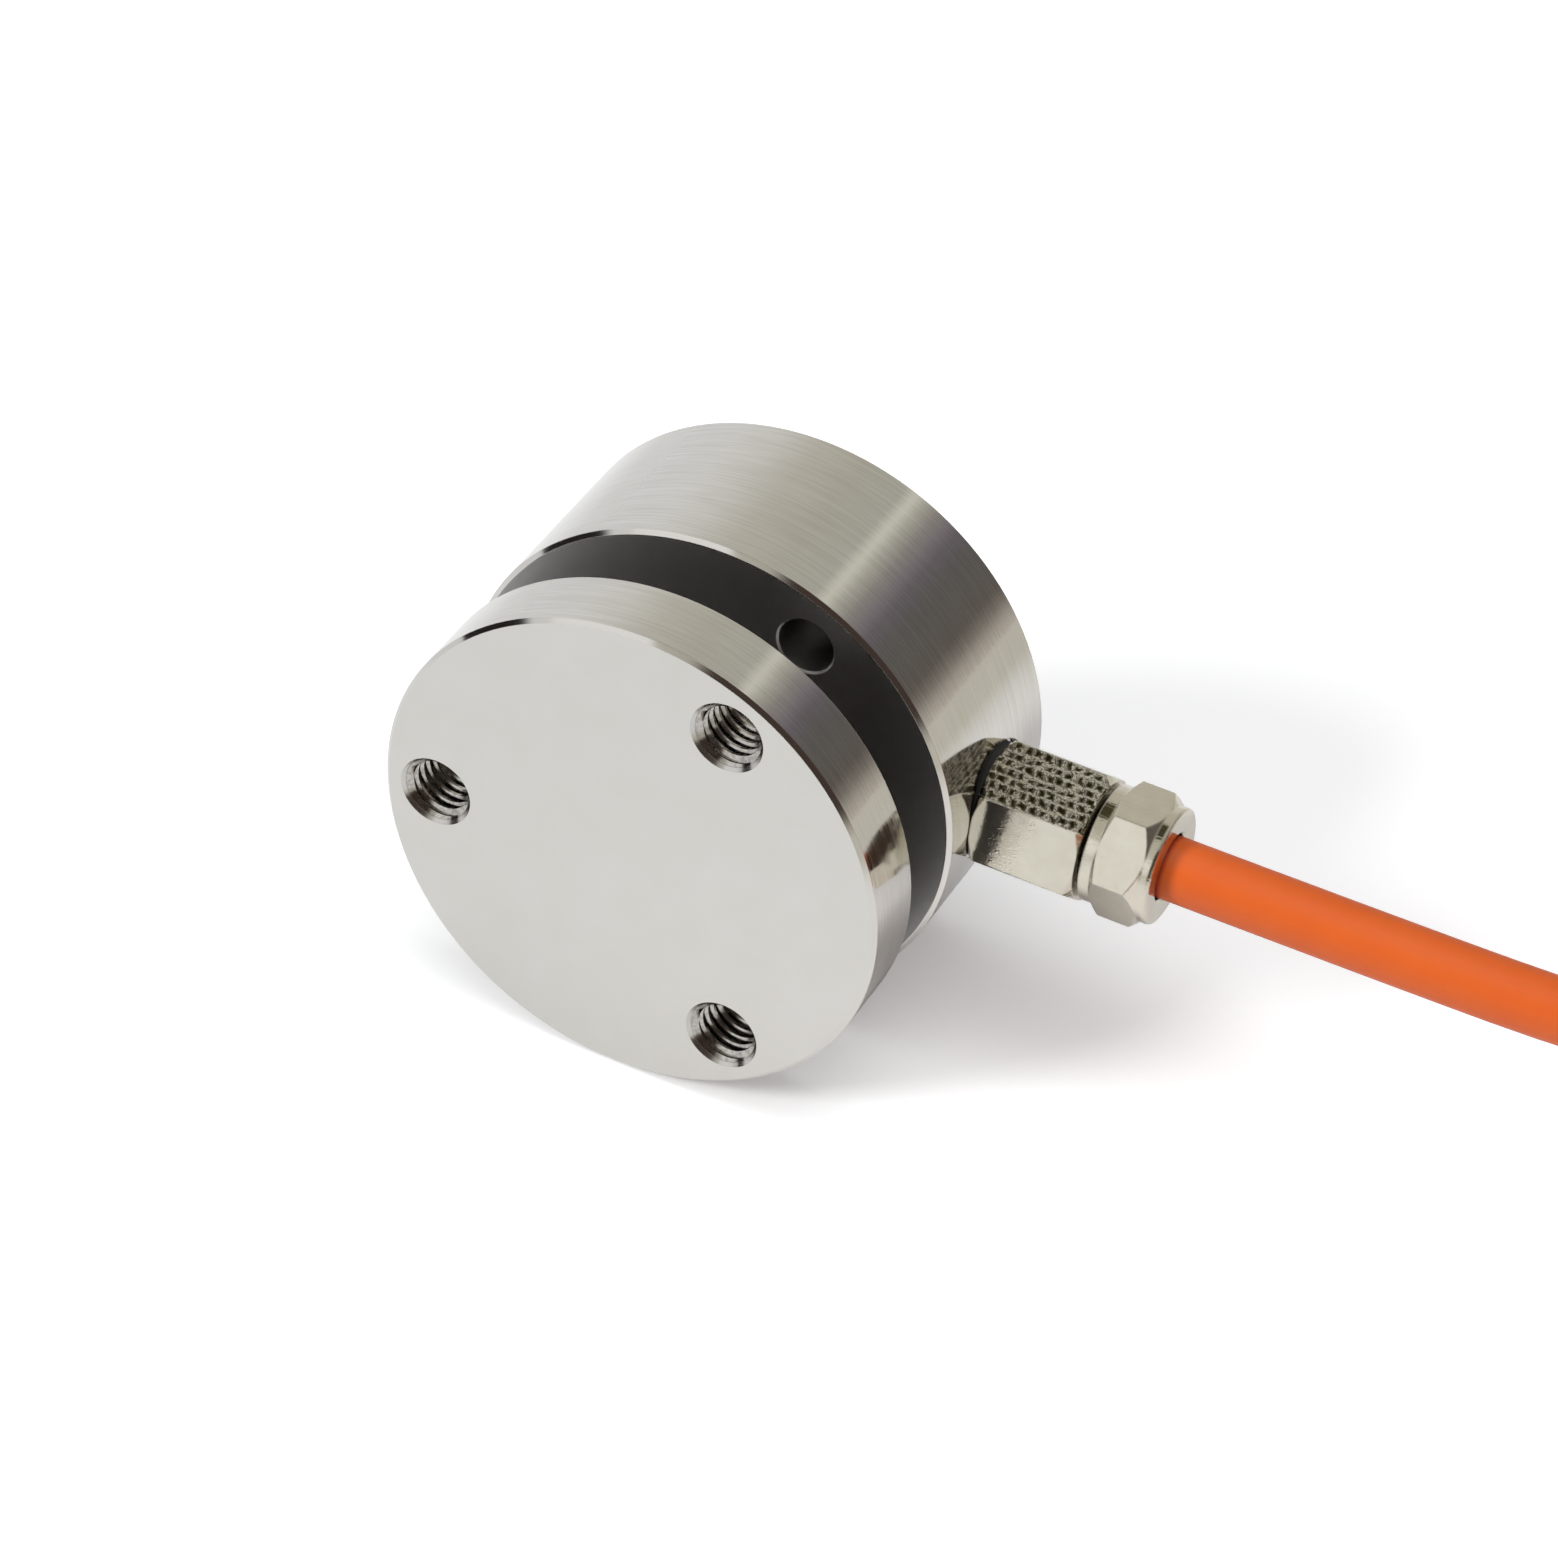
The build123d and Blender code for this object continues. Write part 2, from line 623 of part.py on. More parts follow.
def lead_tips():
    """Tinned ends of the stripped cores."""
    tip = Rot(-90, 0, 0) * Cylinder(TIP_DIAMETER / 2, TIP_LENGTH, align=BASE)
    ends = [lead_route(core_offset(index), LEAD_SPREAD[index], CORE_DIAMETER)[-1] for index in range(len(CORE_COLOURS))]
    return at_tail_end(Compound(children=[Pos(*end) * tip for end in ends]))


def main():
    os.makedirs("parts", exist_ok=True)
    solids = {
        "spring_element": spring_element(),
        "rear_cover": rear_cover(),
        "gauge_leads": gauge_leads(),
        "terminal_board": terminal_board(),
        "balance_resistors": balance_resistors(),
        "gland_gasket": gland_gasket(),
        "gland_body": gland_body(),
        "seal_insert": seal_insert(),
        "clamp_washer": clamp_washer(),
        "gland_nut": gland_nut(),
        "cable_entry": cable_entry(),
        "drain_wire": drain_wire(),
        "cable": cable(),
        "cable_coil": cable_coil(),
        "end_sleeve": end_sleeve(),
        "end_shield": end_shield(),
        "lead_tips": lead_tips(),
    }
    for number, place in enumerate(gauge_places(), start=1):
        solids[f"strain_gauge_{number}"] = strain_gauge(place)
    for index, colour in enumerate(CORE_COLOURS):
        solids[f"core_{colour}"] = inner_core(index)
        solids[f"lead_{colour}"] = end_lead(index)
    for number, angle in enumerate(TIE_ANGLES, start=1):
        solids[f"coil_tie_{number}"] = coil_tie(angle)
    for name, solid in solids.items():
        export_step(solid, f"parts/{name}.step")


main()
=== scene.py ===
import math

import bpy
from mathutils import Matrix, Vector


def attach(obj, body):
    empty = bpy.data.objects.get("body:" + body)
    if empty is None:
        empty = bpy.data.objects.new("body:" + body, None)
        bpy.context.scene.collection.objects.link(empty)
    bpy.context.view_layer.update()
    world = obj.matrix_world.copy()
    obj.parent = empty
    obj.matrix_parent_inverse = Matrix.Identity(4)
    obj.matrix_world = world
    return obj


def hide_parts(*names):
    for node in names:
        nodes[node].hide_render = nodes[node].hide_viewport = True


# Metres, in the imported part's frame. The load axis runs along +Y from the centre of the front
# face, +Z is up and the cable gland points along +X. The load cell lies on its round side.

MM = 0.001

# The photograph's camera, looking down on the front face from the right
CAMERA_TARGET = Vector((7.443, 7.618, 4.834)) * MM
CAMERA_DISTANCE = 410.03 * MM
CAMERA_AZIMUTH = math.radians(23.6415)
CAMERA_ELEVATION = math.radians(39.5278)
CAMERA_ROLL = math.radians(5.5113)
SENSOR_WIDTH = 36.0
LENS = 138.61

# Light: a soft box low on the left of the front, and a broad one overhead. On the floor they add up
# to a plain level of 1
FLOOR_HEIGHT = -19 * MM
FLOOR_SIZE = 4.0
FLOOR_NEAR = 60 * MM
FLOOR_FAR = 200 * MM
FLOOR_LIFT = 0.25
KEY_LIGHT = 0.33
KEY_PLACE = Vector((-0.466, -0.691, 0.552))
KEY_WIDTH = math.radians(17)
TOP_LIGHT_PEAK = 3.9
TOP_LIGHT_PLACE = Vector((0.109, -0.156, 0.982))
TOP_LIGHT_FOCUS = 9.6

# What polished metal mirrors: the studio in degrees round from the right over the top
STUDIO_SEEN = [
    (0, "#C7BFB7"), (4, "#B4AFA6"), (10, "#88817A"), (16, "#6A645F"), (38, "#696766"), (46, "#746D74"),
    (52, "#8A8389"), (58, "#9C9793"), (65, "#C0BEB5"), (70, "#E5E4D9"), (75, "#BFBDB5"), (96, "#C2C0B5"),
    (118, "#CFCCC3"), (136, "#E3E2DE"), (154, "#ECECEC"), (180, "#EBECEE"),
]
# Both ends of the studio are one colour, from this sideways share of a direction to where it is gone
STUDIO_ENDS = "#D8D5CC"
STUDIO_ENDS_EVEN = 0.15
STUDIO_ENDS_EDGE = 0.5
# Patches of it, as (direction, degrees to its even part, degrees to its edge, colour): the gap between
# the boxes overhead, the dark room with the camera, the tall soft box and a black flag at its left
STUDIO_PATCHES = [
    ((-0.31, 0.17, 0.94), 14, 20, "#45412C"),
    ((0.42, -0.80, 0.42), 27, 36, "#4A3E39"),
    ((-0.55, -0.57, 0.61), 15, 19, "#FFFFFF"),
    ((-0.53, -0.73, 0.44), 13, 17, "#FFFFFF"),
    ((-0.48, -0.84, 0.24), 13, 17, "#FFFFFF"),
    ((-0.31, -0.84, 0.44), 9, 13, "#FFFFFF"),
    ((-0.95, -0.26, 0.14), 12, 17, "#262321"),
]

# Load cell, seen from its axis
FLANGE_BACK = 5.6 * MM
BODY_BACK = 26.6 * MM
BODY_RADIUS = 19 * MM
RIM_CHAMFER = 0.3 * MM
BOLT_CIRCLE = 30 * MM
BOLT_CLOCKING = math.radians(183.5)
BOLT_COUNT = 3
GLAND_AXIS = Vector((0.0, 19.0, 0.0)) * MM
GLAND_TURN = math.radians(109.8)
GLAND_FLATS = 6
# Joint between gland and nut, and the jacket's painted shade at the nut's mouth
JOINT_FRONT = 27.0 * MM
JOINT_BACK = 27.25 * MM
JOINT_EDGE = 0.03 * MM
EXIT_SHADE_FROM = 32.3 * MM
EXIT_SHADE_TO = 32.8 * MM

# Marks left by the tools. The feed marks on the steel are really 0.05 mm apart, and are drawn three
# times as coarse to show
FEED_MARKS = 0.15 * MM
FEED_MARK_LENGTH = 5 * MM
FEED_MARK_RANGE = 0.2
# Edge of the rougher finish and the painted shade inside the groove and the bores
DULL_SHADE_EDGE = 0.04 * MM
HOLLOW_PITCH = 0.9 * MM
HOLLOW_ROWS = 7

# M5 coarse thread, cut by a tap; its crests are at the tapping drill's size
THREAD_PITCH = 0.8 * MM
THREAD_DIAMETER = 5.0 * MM
THREAD_CREST = 4.2 * MM
THREAD_SINK = 0.02 * MM
COUNTERSINK = 5.5 * MM
REAR_THREAD_DEPTH = 9.5 * MM

# Cable: straight out of the nut, then aside into the coil's outer top turn
CABLE_DIAMETER = 4.6 * MM
CABLE_EXIT = (0.03145, 0.019, 0.0)
CABLE_ROUTE = [
    CABLE_EXIT,
    (0.05000, 0.01900, 0.00010),
    (0.06400, 0.01900, 0.00040),
    (0.07450, 0.01870, 0.00250),
    (0.08200, 0.01560, 0.00300),
]
COIL_CENTRE = Vector((109.0, 33.9, 0.0)) * MM
COIL_ENTRY = math.radians(-130)
COIL_TOP_TURN = 2.85 * MM
COIL_OUTER_RADIUS = 31.4 * MM
COIL_TURNS_ACROSS = 4
COIL_LAYERS = 5
COIL_TURNS = 19.05
COIL_POINTS_PER_TURN = 20
COIL_STEP = 42 / 360
COIL_LEAD_GAP = 30 / 360
# Free end, rising from the inner top turn to lie on the coil, from the coil's centre
CABLE_TAIL = [
    (-0.00124, -0.01761, 0.00330),
    (0.00431, -0.01727, 0.00500),
    (0.00959, -0.01535, 0.00690),
    (0.01417, -0.01189, 0.00790),
    (0.01755, -0.00709, 0.00815),
    (0.01910, -0.00250, 0.00815),
    (0.01925, 0.00230, 0.00815),
    (0.018066, 0.007538, 0.00815),
]


def colour(code):
    """Linear RGBA of an sRGB hex colour."""
    channels = [int(code[i:i + 2], 16) / 255 for i in (1, 3, 5)]
    return [c / 12.92 if c <= 0.04045 else ((c + 0.055) / 1.055) ** 2.4 for c in channels] + [1.0]


def add(tree, kind, inputs=None, stops=(), **settings):
    """Add a node. An input is a value, an output, or a node for its first output in use."""
    node = tree.nodes.new(kind)
    for name, value in settings.items():
        setattr(node, name, value)
    for key, value in (inputs or {}).items():
        socket = node.inputs[key] if isinstance(key, int) else \
            next(s for s in node.inputs if s.enabled and s.name == key)
        if isinstance(value, bpy.types.Node):
            value = next(s for s in value.outputs if s.enabled)
        if isinstance(value, bpy.types.NodeSocket):
            tree.links.new(value, socket)
        else:
            socket.default_value = value
    for index, (position, code) in enumerate(stops):
        elements = node.color_ramp.elements
        element = elements[index] if index < 2 else elements.new(position)
        element.position = position
        element.color = colour(code)
    return node


def link_object(name, data):
    """New object in the scene."""
    obj = bpy.data.objects.new(name, data)
    bpy.context.scene.collection.objects.link(obj)
    return obj


def new_material(name):
    """Empty node material and its tree."""
    material = bpy.data.materials.new(name)
    material.use_nodes = True
    material.node_tree.nodes.clear()
    return material, material.node_tree


def make_camera():
    """Camera at the photograph's place, its horizon slightly turned."""
    data = bpy.data.cameras.new("camera")
    data.sensor_width = SENSOR_WIDTH
    data.lens = LENS
    data.clip_start = 0.01
    data.clip_end = 20.0
    camera = link_object("camera", data)
    turn = Matrix.Rotation(CAMERA_AZIMUTH, 4, "Z")
    turn = turn @ Matrix.Rotation(math.pi / 2 - CAMERA_ELEVATION, 4, "X")
    back = turn @ Vector((0, 0, 1))
    place = Matrix.Translation(CAMERA_TARGET + back * CAMERA_DISTANCE)
    camera.matrix_world = place @ turn @ Matrix.Rotation(CAMERA_ROLL, 4, "Z")
    bpy.context.scene.camera = camera


def towards(tree, direction, place):
    """Cosine between a direction and a place."""
    product = add(tree, "ShaderNodeVectorMath", {0: direction, 1: place}, operation="DOT_PRODUCT")
    return product.outputs["Value"]


def ramp(tree, value, low, high, to_low=0.0, to_high=1.0):
    """Smooth step of a value, rising between two limits."""
    return add(tree, "ShaderNodeMapRange",
               {"Value": value, "From Min": low, "From Max": high, "To Min": to_low, "To Max": to_high},
               interpolation_type="SMOOTHSTEP")


def blend(tree, factor, first, second, **settings):
    """Mix of two colours."""
    inputs = {"Factor": factor, "A": first, "B": second}
    return add(tree, "ShaderNodeMix", inputs, data_type="RGBA", **settings)


def make_world():
    """White to the camera, a soft light overhead, and a studio for polished metal to mirror."""
    world = bpy.data.worlds.new("studio")
    world.use_nodes = True
    tree = world.node_tree
    tree.nodes.clear()
    direction = add(tree, "ShaderNodeTexCoord").outputs["Generated"]
    x, _, z = add(tree, "ShaderNodeSeparateXYZ", {0: direction}).outputs
    above = add(tree, "ShaderNodeMath", {0: z, 1: 0.0}, operation="MAXIMUM")
    angle = add(tree, "ShaderNodeMath", {0: above, 1: x}, operation="ARCTAN2")
    share = add(tree, "ShaderNodeMath", {0: angle, 1: math.pi}, operation="DIVIDE")
    stops = [(turn / 180, code) for turn, code in STUDIO_SEEN]
    round_seen = add(tree, "ShaderNodeValToRGB", {"Fac": share}, stops)
    sideways = add(tree, "ShaderNodeVectorMath", {0: direction, 1: (1, 0, 1)}, operation="MULTIPLY")
    reach = add(tree, "ShaderNodeVectorMath", {0: sideways}, operation="LENGTH").outputs["Value"]
    off_ends = ramp(tree, reach, STUDIO_ENDS_EVEN, STUDIO_ENDS_EDGE)
    studio = blend(tree, off_ends, colour(STUDIO_ENDS), round_seen)
    for place, even, edge, code in STUDIO_PATCHES:
        inside = ramp(tree, towards(tree, direction, Vector(place).normalized()),
                      math.cos(math.radians(edge)), math.cos(math.radians(even)))
        studio = blend(tree, inside, studio, colour(code))
    mirrored = add(tree, "ShaderNodeBackground", {"Color": studio})
    overhead = towards(tree, direction, TOP_LIGHT_PLACE)
    overhead = add(tree, "ShaderNodeMath", {0: overhead, 1: 0.0}, operation="MAXIMUM")
    falling = add(tree, "ShaderNodeMath", {0: overhead, 1: TOP_LIGHT_FOCUS}, operation="POWER")
    level = add(tree, "ShaderNodeMath", {0: falling, 1: TOP_LIGHT_PEAK}, operation="MULTIPLY")
    soft_light = add(tree, "ShaderNodeBackground", {"Color": colour("#FFFFFF"), "Strength": level})
    white = add(tree, "ShaderNodeBackground", {"Color": colour("#FFFFFF")})
    rays = add(tree, "ShaderNodeLightPath").outputs
    mirror_rays = add(tree, "ShaderNodeMath", {0: rays["Is Glossy Ray"], 1: rays["Is Transmission Ray"]},
                      operation="MAXIMUM")
    lit = add(tree, "ShaderNodeMixShader", {0: mirror_rays, 1: soft_light, 2: mirrored})
    shown = add(tree, "ShaderNodeMixShader", {0: rays["Is Camera Ray"], 1: lit, 2: white})
    add(tree, "ShaderNodeOutputWorld", {"Surface": shown})
    bpy.context.scene.world = world


def make_key_lamp():
    """Soft box over the front's left, whose shadow falls behind the load cell on the right."""
    lamp = bpy.data.lights.new("key_lamp", "SUN")
    lamp.energy = KEY_LIGHT * math.pi / KEY_PLACE.z
    lamp.angle = KEY_WIDTH
    key = link_object("key_lamp", lamp)
    key.rotation_euler = KEY_PLACE.to_track_quat("Z", "Y").to_euler()
    key.visible_glossy = False


def white_table():
    # Matt white paper: the camera's exposure blows it out round the load cell and leaves its shadow,
    # and further off, where metal mirrors it, painted shade darkens the paper and turns it warmer on the
    # right
    material, tree = new_material("matt_white_paper")
    place = add(tree, "ShaderNodeTexCoord").outputs["Object"]
    distance = add(tree, "ShaderNodeVectorMath", {0: place}, operation="LENGTH").outputs["Value"]
    x, _, _ = add(tree, "ShaderNodeSeparateXYZ", {0: place}).outputs
    # Painted shade: the far paper is darker, and on the right darker and warmer
    far_painted_shade = blend(tree, ramp(tree, x, -FLOOR_NEAR, FLOOR_NEAR), colour("#EDEDEE"), colour("#D6D3C8"))
    near = colour("#F9FAFB")
    paper_with_painted_shade = blend(tree, ramp(tree, distance, FLOOR_NEAR, FLOOR_FAR), near, far_painted_shade)
    seen = add(tree, "ShaderNodeLightPath").outputs["Is Camera Ray"]
    matt = add(tree, "ShaderNodeBsdfDiffuse", {"Color": blend(tree, seen, paper_with_painted_shade, near)})
    lift = add(tree, "ShaderNodeMath", {0: seen, 1: FLOOR_LIFT}, operation="MULTIPLY")
    blown = add(tree, "ShaderNodeEmission", {"Color": colour("#FFFFFF"), "Strength": lift})
    shader = add(tree, "ShaderNodeAddShader", {0: matt, 1: blown})
    add(tree, "ShaderNodeOutputMaterial", {"Surface": shader})
    return material


def make_floor():
    """Pale floor under the load cell."""
    mesh = bpy.data.meshes.new("floor")
    half = FLOOR_SIZE / 2
    square = ((-half, -half), (half, -half), (half, half), (-half, half))
    corners = [(x, y, FLOOR_HEIGHT) for x, y in square]
    mesh.from_pydata(corners, [], [(0, 1, 2, 3)])
    mesh.materials.append(white_table())
    link_object("floor", mesh)


def turned_stainless():
    # Stainless steel, fine-turned and nearly polished: reflections stay clear, under hair-fine rings
    # left by the tool on the sides. In the groove and the bores it is rougher, and painted shade darkens it
    material, tree = new_material("fine_turned_stainless_steel")
    coordinates = add(tree, "ShaderNodeTexCoord").outputs
    place = coordinates["Object"]
    _, facing, _ = add(tree, "ShaderNodeSeparateXYZ", {0: coordinates["Normal"]}).outputs
    on_end = ramp(tree, add(tree, "ShaderNodeMath", {0: facing}, operation="ABSOLUTE"), 0.4, 0.9)
    x, y, z = add(tree, "ShaderNodeSeparateXYZ", {0: place}).outputs
    flat = add(tree, "ShaderNodeCombineXYZ", {0: x, 2: z})
    radius = add(tree, "ShaderNodeVectorMath", {0: flat}, operation="LENGTH").outputs["Value"]

    # Feed marks lie across the tool's path, and run for some millimetres along the turn
    tool_path = add(tree, "ShaderNodeMath", {0: y, 1: radius}, operation="ADD")
    swept = add(tree, "ShaderNodeCombineXYZ", {0: x, 1: tool_path, 2: z})
    spacing = (1 / FEED_MARK_LENGTH, 1 / FEED_MARKS, 1 / FEED_MARK_LENGTH)
    scaled = add(tree, "ShaderNodeVectorMath", {0: swept, 1: spacing}, operation="MULTIPLY")
    hair = add(tree, "ShaderNodeTexNoise", {"Vector": scaled, "Scale": 1.0, "Detail": 2.0})
    depth = add(tree, "ShaderNodeMath", {0: hair, 1: 0.5}, operation="SUBTRACT")
    on_side = add(tree, "ShaderNodeMath", {0: 1.0, 1: on_end}, operation="SUBTRACT")
    marks = add(tree, "ShaderNodeMath", {0: depth, 1: on_side}, operation="MULTIPLY")
    clouds = add(tree, "ShaderNodeTexNoise", {"Vector": place, "Scale": 1 / (4 * MM), "Detail": 3.0})
    marked = ramp(tree, marks, -FEED_MARK_RANGE, FEED_MARK_RANGE)
    bright = blend(tree, marked, colour("#D2D0CB"), colour("#DDDBD8"))
    clouded = blend(tree, clouds, colour("#F8F7F4"), colour("#FFFFFF"))
    clean = blend(tree, 1.0, bright, clouded, blend_type="MULTIPLY")
    clean_rough = add(tree, "ShaderNodeMapRange", {"Value": marked, "To Min": 0.05, "To Max": 0.13})

    # Inside the rim: the groove and everything behind it, and the walls of the bores, rougher and darkened
    # with painted shade
    rim = BODY_RADIUS - RIM_CHAMFER
    inside = ramp(tree, radius, rim - DULL_SHADE_EDGE, rim - 0.1 * MM)
    behind = ramp(tree, y, FLANGE_BACK - DULL_SHADE_EDGE, FLANGE_BACK)
    wall = add(tree, "ShaderNodeMath", {0: on_side, 1: behind}, operation="MAXIMUM")
    dull_and_painted_shade = add(tree, "ShaderNodeMath", {0: inside, 1: wall}, operation="MULTIPLY")
    steel = blend(tree, dull_and_painted_shade, clean, colour("#A3A1A0"))
    rough = add(tree, "ShaderNodeMix", {"Factor": dull_and_painted_shade, "A": clean_rough, "B": 0.4})
    edges = add(tree, "ShaderNodeBevel", {"Radius": 0.05 * MM}, samples=4)
    grooves = add(tree, "ShaderNodeBump",
                  {"Height": marks, "Distance": 0.002 * MM, "Strength": 0.5, "Normal": edges})
    shader = add(tree, "ShaderNodeBsdfPrincipled",
                 {"Base Color": steel, "Metallic": 1.0, "Roughness": rough, "Normal": grooves})
    add(tree, "ShaderNodeOutputMaterial", {"Surface": shader})
    return material


def tapped_stainless():
    # Stainless steel cut by a tap: clean enough to mirror the lamps, with torn, darker spots
    material, tree = new_material("tapped_stainless_steel")
    place = add(tree, "ShaderNodeTexCoord").outputs["Object"]
    tears = add(tree, "ShaderNodeTexNoise", {"Vector": place, "Scale": 1 / (0.3 * MM), "Detail": 3.0})
    steel = blend(tree, ramp(tree, tears, 0.35, 0.6), colour("#A39E98"), colour("#BFBCB7"))
    rough = add(tree, "ShaderNodeMapRange", {"Value": tears, "To Min": 0.06, "To Max": 0.2})
    shader = add(tree, "ShaderNodeBsdfPrincipled",
                 {"Base Color": steel, "Metallic": 1.0, "Roughness": rough})
    add(tree, "ShaderNodeOutputMaterial", {"Surface": shader})
    return material


def nickel_plated_brass():
    # Bright nickel over milled brass: warm grey mirror. Every other flat keeps rows of short, olive
    # dark hollows along the gland, left by the mill, and the flats between are smooth
    material, tree = new_material("nickel_plated_brass")
    place = add(tree, "ShaderNodeTexCoord").outputs["Object"]
    centred = add(tree, "ShaderNodeVectorMath", {0: place, 1: GLAND_AXIS}, operation="SUBTRACT")
    x, y, z = add(tree, "ShaderNodeSeparateXYZ", {0: centred}).outputs
    angle = add(tree, "ShaderNodeMath", {0: z, 1: y}, operation="ARCTAN2")
    turned = add(tree, "ShaderNodeMath", {0: angle, 1: GLAND_TURN}, operation="SUBTRACT")
    every_other = add(tree, "ShaderNodeMath", {0: turned, 1: GLAND_FLATS / 2}, operation="MULTIPLY")
    swing = add(tree, "ShaderNodeMath", {0: every_other}, operation="COSINE")
    milled_flat = ramp(tree, swing, -0.05, 0.05)
    on_body = ramp(tree, x, JOINT_FRONT, JOINT_FRONT - 0.1 * MM)
    milled_share = add(tree, "ShaderNodeMath", {0: milled_flat, 1: on_body}, operation="MULTIPLY")
    # Rows of hollows that wander a little, about two thirds of a millimetre long
    drift = add(tree, "ShaderNodeTexNoise", {"Vector": place, "Scale": 1 / (0.7 * MM), "Detail": 3.0})
    wander = add(tree, "ShaderNodeMath", {0: drift, 1: 1.3}, operation="MULTIPLY")
    rows_per_radian = GLAND_FLATS * HOLLOW_ROWS / (2 * math.pi)
    across = add(tree, "ShaderNodeMath", {0: angle, 1: rows_per_radian, 2: wander},
                 operation="MULTIPLY_ADD")
    along = add(tree, "ShaderNodeMath", {0: x, 1: 1 / HOLLOW_PITCH, 2: wander}, operation="MULTIPLY_ADD")
    grid = add(tree, "ShaderNodeCombineXYZ", {0: along, 1: across, 2: 0.0})
    cells = add(tree, "ShaderNodeTexBrick",
                {"Vector": grid, "Scale": 1.0, "Mortar Size": 0.28, "Mortar Smooth": 1.0,
                 "Brick Width": 0.85, "Row Height": 1.0}).outputs["Fac"]
    # Fine hatch along the gland, on every flat and on the nut
    fine_grid = add(tree, "ShaderNodeVectorMath", {0: grid, 1: (0.4, 3.0, 1.0)}, operation="MULTIPLY")
    hatch = add(tree, "ShaderNodeTexNoise", {"Vector": fine_grid, "Scale": 1.0, "Detail": 2.0})
    hollows = add(tree, "ShaderNodeMath", {0: cells, 1: milled_share}, operation="MULTIPLY")
    height = add(tree, "ShaderNodeMath", {0: hatch, 1: 0.12, 2: hollows}, operation="MULTIPLY_ADD")
    edges = add(tree, "ShaderNodeBevel", {"Radius": 0.2 * MM}, samples=4)
    milled = add(tree, "ShaderNodeBump",
                 {"Height": height, "Distance": 0.12 * MM, "Strength": 1.0, "Normal": edges})
    blotches = add(tree, "ShaderNodeTexNoise", {"Vector": place, "Scale": 1 / (1.5 * MM), "Detail": 3.0})
    plated = blend(tree, blotches, colour("#CBC5B4"), colour("#DEDACD"))
    in_places = ramp(tree, drift, 0.3, 0.55)
    kept = add(tree, "ShaderNodeMath", {0: in_places, 1: milled_share}, operation="MULTIPLY")
    hollow = add(tree, "ShaderNodeMath", {0: ramp(tree, cells, 0.6, 0.2), 1: kept}, operation="MULTIPLY")
    worn = blend(tree, hollow, plated, colour("#6E6A50"))

    # Painted shade: the thread that shows in the joint before the nut is painted dark, as the shade in the
    # gap
    past_body = ramp(tree, x, JOINT_FRONT, JOINT_FRONT + JOINT_EDGE)
    before_nut = ramp(tree, x, JOINT_BACK, JOINT_BACK - JOINT_EDGE)
    in_joint = add(tree, "ShaderNodeMath", {0: past_body, 1: before_nut}, operation="MULTIPLY")
    nickel = blend(tree, in_joint, worn, colour("#1E1B18"))
    rough = add(tree, "ShaderNodeMapRange", {"Value": blotches, "To Min": 0.06, "To Max": 0.14})
    shader = add(tree, "ShaderNodeBsdfPrincipled",
                 {"Base Color": nickel, "Metallic": 1.0, "Roughness": rough, "Normal": milled})
    add(tree, "ShaderNodeOutputMaterial", {"Surface": shader})
    return material


def nitrile_rubber():
    # Moulded nitrile rubber: soft black with a faint bloom
    material, tree = new_material("moulded_nitrile_rubber")
    place = add(tree, "ShaderNodeTexCoord").outputs["Object"]
    bloom = add(tree, "ShaderNodeTexNoise", {"Vector": place, "Scale": 1 / (0.6 * MM), "Detail": 4.0})
    black = blend(tree, bloom, colour("#131313"), colour("#242322"))
    grain = add(tree, "ShaderNodeBump", {"Height": bloom, "Distance": 0.02 * MM, "Strength": 0.4})
    shader = add(tree, "ShaderNodeBsdfPrincipled",
                 {"Base Color": black, "Roughness": 0.55, "Normal": grain})
    add(tree, "ShaderNodeOutputMaterial", {"Surface": shader})
    return material


def polyurethane_jacket():
    # Extruded orange polyurethane: satin, with slight colour drift, and a painted shade darkening it
    # where it goes into the nut's mouth
    material, tree = new_material("extruded_polyurethane_jacket")
    place = add(tree, "ShaderNodeTexCoord").outputs["Object"]
    drift = add(tree, "ShaderNodeTexNoise", {"Vector": place, "Scale": 1 / (3.5 * MM), "Detail": 4.0})
    even = blend(tree, drift, colour("#D2591E"), colour("#DC6423"))
    x, _, _ = add(tree, "ShaderNodeSeparateXYZ", {0: place}).outputs
    # Painted shade: darker red at the nut's mouth
    orange = blend(tree, ramp(tree, x, EXIT_SHADE_FROM, EXIT_SHADE_TO), colour("#A82E0C"), even)
    pores = add(tree, "ShaderNodeTexNoise", {"Vector": place, "Scale": 1 / (0.25 * MM), "Detail": 3.0})
    rough = add(tree, "ShaderNodeMapRange", {"Value": pores, "To Min": 0.45, "To Max": 0.58})
    skin = add(tree, "ShaderNodeBump", {"Height": pores, "Distance": 0.01 * MM, "Strength": 0.35})
    shader = add(tree, "ShaderNodeBsdfPrincipled",
                 {"Base Color": orange, "Roughness": rough, "IOR": 1.5, "Specular IOR Level": 0.35,
                  "Normal": skin, "Subsurface Weight": 0.05, "Subsurface Radius": (1.0, 0.35, 0.15),
                  "Subsurface Scale": 0.4 * MM})
    add(tree, "ShaderNodeOutputMaterial", {"Surface": shader})
    return material


def core_insulation(name, dark, light):
    """Extruded insulation of one small core: thin, glossy and evenly coloured."""
    material, tree = new_material(name)
    place = add(tree, "ShaderNodeTexCoord").outputs["Object"]
    drift = add(tree, "ShaderNodeTexNoise", {"Vector": place, "Scale": 1 / (1.2 * MM), "Detail": 3.0})
    shade = blend(tree, drift, colour(dark), colour(light))
    rough = add(tree, "ShaderNodeMapRange", {"Value": drift, "To Min": 0.25, "To Max": 0.4})
    shader = add(tree, "ShaderNodeBsdfPrincipled",
                 {"Base Color": shade, "Roughness": rough, "IOR": 1.47})
    add(tree, "ShaderNodeOutputMaterial", {"Surface": shader})
    return material


